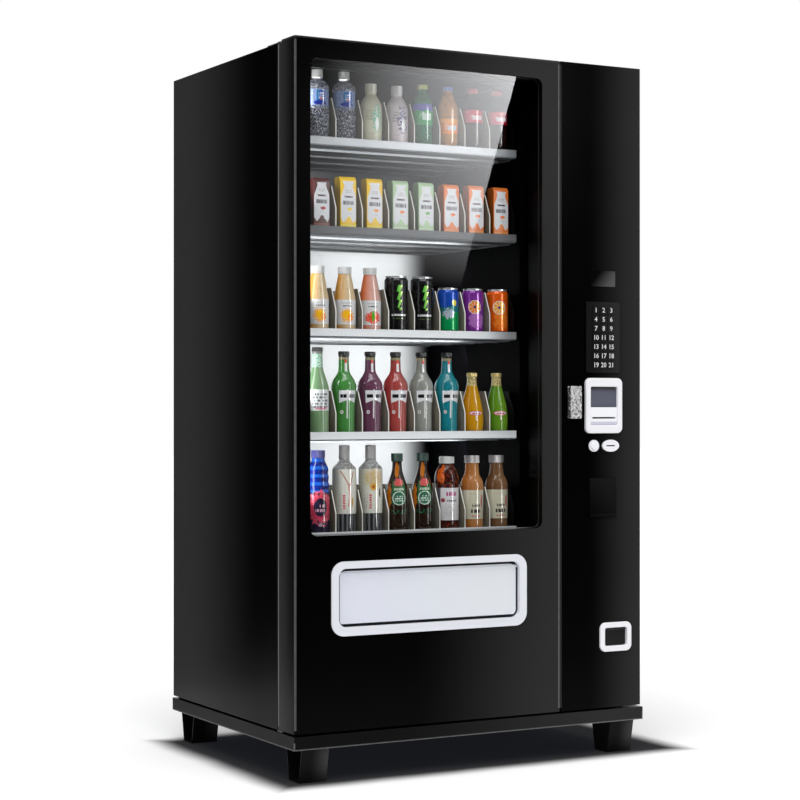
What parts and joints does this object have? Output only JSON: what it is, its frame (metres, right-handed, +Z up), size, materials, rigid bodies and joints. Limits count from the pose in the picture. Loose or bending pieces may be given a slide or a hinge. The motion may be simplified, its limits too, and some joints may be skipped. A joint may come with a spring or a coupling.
{
  "type": "snack vending machine",
  "caption": "Floor-standing vending machine with belt lanes behind a hinged glass door, a delivery flap, and a second door with keypad, note and coin units.",
  "frame": {"origin": "middle of the overall footprint, on the floor", "axes": "+Z up, the front faces -Y, +X to the buyer's right"},
  "size_m": [1.096, 0.822, 1.93],
  "materials": {
    "black_paint": "satin black powder coat, lightly textured",
    "rear_steel": "plain galvanised-look grey paint",
    "liner_white": "smooth white liner, black on the partition",
    "tray_steel": "zinc-plated sheet",
    "rail_silver": "anodised label rail",
    "divider_cream": "moulded cream dividers",
    "belt_black": "ribbed black belt",
    "roller_grey": "moulded rollers on a steel shaft",
    "drive_plastic": "moulded gear cases",
    "led_white": "frosted lamp cover",
    "cooling_metal": "black enamelled compressor and coil",
    "fan_black": "moulded fan",
    "glazing": "clear toughened double glazing",
    "seal_grey": "soft magnetic gasket",
    "hatch_white": "moulded off-white hatch",
    "lens_dark": "smoked lens",
    "keypad_black": "moulded black keypad",
    "bezel_white": "moulded white bezels",
    "flap_black": "black flap",
    "lock_silver": "satin-plated lock"
  },
  "bodies": {
    "cabinet": {"cabinet_wrap": "black_paint", "rear_panel": "rear_steel", "plinth": "black_paint", "legs": "black_paint", "inner_liner": "liner_white", "shelf_trays": "tray_steel", "price_rails": "rail_silver", "lane_dividers": "divider_cream", "conveyor_belts": "belt_black", "belt_drives": "drive_plastic", "tray_runners": "tray_steel", "led_strips": "led_white", "cooling_unit": "cooling_metal", "delivery_bin": "tray_steel", "door_hinges": "tray_steel"},
    "glass_door": {"glass_door_frame": "black_paint", "glass_pane": "glazing", "door_gasket": "seal_grey", "hatch_bezel": "hatch_white"},
    "control_door": {"control_door_panel": "black_paint", "display_lens": "lens_dark", "keypad_plate": "keypad_black", "bill_bezel": "bezel_white", "bill_validator": "bezel_white", "coin_slot_plate": "bezel_white", "coin_mechanism": "drive_plastic", "coin_cup": "bezel_white", "lock_housing": "lock_silver", "card_reader_window": "lens_dark"},
    "delivery_flap": {"delivery_flap": "hatch_white"},
    "coin_flap": {"coin_flap": "flap_black"},
    "coin_return_button": {"coin_return_button": "bezel_white"},
    "lock_barrel": {"lock_barrel": "lock_silver"},
    "condenser_fan": {"condenser_fan": "fan_black"},
    "belt_rollers_1": {"belt_rollers_1": "roller_grey"},
    "belt_rollers_2": {"belt_rollers_2": "roller_grey"},
    "belt_rollers_3": {"belt_rollers_3": "roller_grey"},
    "belt_rollers_4": {"belt_rollers_4": "roller_grey"},
    "belt_rollers_5": {"belt_rollers_5": "roller_grey"},
    "key_01": {"key_01": "keypad_black"},
    "key_02": {"key_02": "keypad_black"},
    "key_03": {"key_03": "keypad_black"},
    "key_04": {"key_04": "keypad_black"},
    "key_05": {"key_05": "keypad_black"},
    "key_06": {"key_06": "keypad_black"},
    "key_07": {"key_07": "keypad_black"},
    "key_08": {"key_08": "keypad_black"},
    "key_09": {"key_09": "keypad_black"},
    "key_10": {"key_10": "keypad_black"},
    "key_11": {"key_11": "keypad_black"},
    "key_12": {"key_12": "keypad_black"},
    "key_13": {"key_13": "keypad_black"},
    "key_14": {"key_14": "keypad_black"},
    "key_15": {"key_15": "keypad_black"},
    "key_16": {"key_16": "keypad_black"},
    "key_17": {"key_17": "keypad_black"},
    "key_18": {"key_18": "keypad_black"},
    "key_19": {"key_19": "keypad_black"},
    "key_20": {"key_20": "keypad_black"},
    "key_21": {"key_21": "keypad_black"}
  },
  "joints": [
    {"name": "glass_door_hinge", "type": "hinge", "parent": "cabinet", "child": "glass_door", "pos_m": [-0.536, -0.305, 1], "axis": [0, 0, -1], "range_deg": [0, 105]},
    {"name": "control_door_hinge", "type": "hinge", "parent": "cabinet", "child": "control_door", "pos_m": [0.536, -0.305, 1], "axis": [0, 0, 1], "range_deg": [0, 105]},
    {"name": "delivery_flap_hinge", "type": "hinge", "parent": "glass_door", "child": "delivery_flap", "pos_m": [-0.14, -0.382, 0.538], "axis": [1, 0, 0], "range_deg": [0, 75]},
    {"name": "coin_flap_hinge", "type": "hinge", "parent": "control_door", "child": "coin_flap", "pos_m": [0.45575, -0.389, 0.349], "axis": [1, 0, 0], "range_deg": [0, 60]},
    {"name": "coin_return_press", "type": "slide", "parent": "control_door", "child": "coin_return_button", "axis": [0, 1, 0], "range_m": [0, 0.003], "stiffness_N_per_m": 400},
    {"name": "lock_turn", "type": "hinge", "parent": "control_door", "child": "lock_barrel", "pos_m": [0.314, -0.394, 0.986], "axis": [0, -1, 0], "range_deg": [0, 90]},
    {"name": "condenser_fan_spin", "type": "hinge", "parent": "cabinet", "child": "condenser_fan", "pos_m": [-0.04, 0.3, 0.229], "axis": [0, 1, 0], "continuous": true},
    {"name": "belt_rollers_1_spin", "type": "hinge", "parent": "cabinet", "child": "belt_rollers_1", "pos_m": [-0.128, -0.274, 1.6766], "axis": [1, 0, 0], "continuous": true},
    {"name": "belt_rollers_2_spin", "type": "hinge", "parent": "cabinet", "child": "belt_rollers_2", "pos_m": [-0.128, -0.274, 1.4406], "axis": [1, 0, 0], "continuous": true},
    {"name": "belt_rollers_3_spin", "type": "hinge", "parent": "cabinet", "child": "belt_rollers_3", "pos_m": [-0.128, -0.274, 1.1686], "axis": [1, 0, 0], "continuous": true},
    {"name": "belt_rollers_4_spin", "type": "hinge", "parent": "cabinet", "child": "belt_rollers_4", "pos_m": [-0.128, -0.274, 0.8936], "axis": [1, 0, 0], "continuous": true},
    {"name": "belt_rollers_5_spin", "type": "hinge", "parent": "cabinet", "child": "belt_rollers_5", "pos_m": [-0.128, -0.274, 0.6276], "axis": [1, 0, 0], "continuous": true},
    {"name": "key_01_press", "type": "slide", "parent": "control_door", "child": "key_01", "axis": [0, 1, 0], "range_m": [0, 0.0015], "stiffness_N_per_m": 300},
    {"name": "key_02_press", "type": "slide", "parent": "control_door", "child": "key_02", "axis": [0, 1, 0], "range_m": [0, 0.0015], "stiffness_N_per_m": 300},
    {"name": "key_03_press", "type": "slide", "parent": "control_door", "child": "key_03", "axis": [0, 1, 0], "range_m": [0, 0.0015], "stiffness_N_per_m": 300},
    {"name": "key_04_press", "type": "slide", "parent": "control_door", "child": "key_04", "axis": [0, 1, 0], "range_m": [0, 0.0015], "stiffness_N_per_m": 300},
    {"name": "key_05_press", "type": "slide", "parent": "control_door", "child": "key_05", "axis": [0, 1, 0], "range_m": [0, 0.0015], "stiffness_N_per_m": 300},
    {"name": "key_06_press", "type": "slide", "parent": "control_door", "child": "key_06", "axis": [0, 1, 0], "range_m": [0, 0.0015], "stiffness_N_per_m": 300},
    {"name": "key_07_press", "type": "slide", "parent": "control_door", "child": "key_07", "axis": [0, 1, 0], "range_m": [0, 0.0015], "stiffness_N_per_m": 300},
    {"name": "key_08_press", "type": "slide", "parent": "control_door", "child": "key_08", "axis": [0, 1, 0], "range_m": [0, 0.0015], "stiffness_N_per_m": 300},
    {"name": "key_09_press", "type": "slide", "parent": "control_door", "child": "key_09", "axis": [0, 1, 0], "range_m": [0, 0.0015], "stiffness_N_per_m": 300},
    {"name": "key_10_press", "type": "slide", "parent": "control_door", "child": "key_10", "axis": [0, 1, 0], "range_m": [0, 0.0015], "stiffness_N_per_m": 300},
    {"name": "key_11_press", "type": "slide", "parent": "control_door", "child": "key_11", "axis": [0, 1, 0], "range_m": [0, 0.0015], "stiffness_N_per_m": 300},
    {"name": "key_12_press", "type": "slide", "parent": "control_door", "child": "key_12", "axis": [0, 1, 0], "range_m": [0, 0.0015], "stiffness_N_per_m": 300},
    {"name": "key_13_press", "type": "slide", "parent": "control_door", "child": "key_13", "axis": [0, 1, 0], "range_m": [0, 0.0015], "stiffness_N_per_m": 300},
    {"name": "key_14_press", "type": "slide", "parent": "control_door", "child": "key_14", "axis": [0, 1, 0], "range_m": [0, 0.0015], "stiffness_N_per_m": 300},
    {"name": "key_15_press", "type": "slide", "parent": "control_door", "child": "key_15", "axis": [0, 1, 0], "range_m": [0, 0.0015], "stiffness_N_per_m": 300},
    {"name": "key_16_press", "type": "slide", "parent": "control_door", "child": "key_16", "axis": [0, 1, 0], "range_m": [0, 0.0015], "stiffness_N_per_m": 300},
    {"name": "key_17_press", "type": "slide", "parent": "control_door", "child": "key_17", "axis": [0, 1, 0], "range_m": [0, 0.0015], "stiffness_N_per_m": 300},
    {"name": "key_18_press", "type": "slide", "parent": "control_door", "child": "key_18", "axis": [0, 1, 0], "range_m": [0, 0.0015], "stiffness_N_per_m": 300},
    {"name": "key_19_press", "type": "slide", "parent": "control_door", "child": "key_19", "axis": [0, 1, 0], "range_m": [0, 0.0015], "stiffness_N_per_m": 300},
    {"name": "key_20_press", "type": "slide", "parent": "control_door", "child": "key_20", "axis": [0, 1, 0], "range_m": [0, 0.0015], "stiffness_N_per_m": 300},
    {"name": "key_21_press", "type": "slide", "parent": "control_door", "child": "key_21", "axis": [0, 1, 0], "range_m": [0, 0.0015], "stiffness_N_per_m": 300}
  ]
}
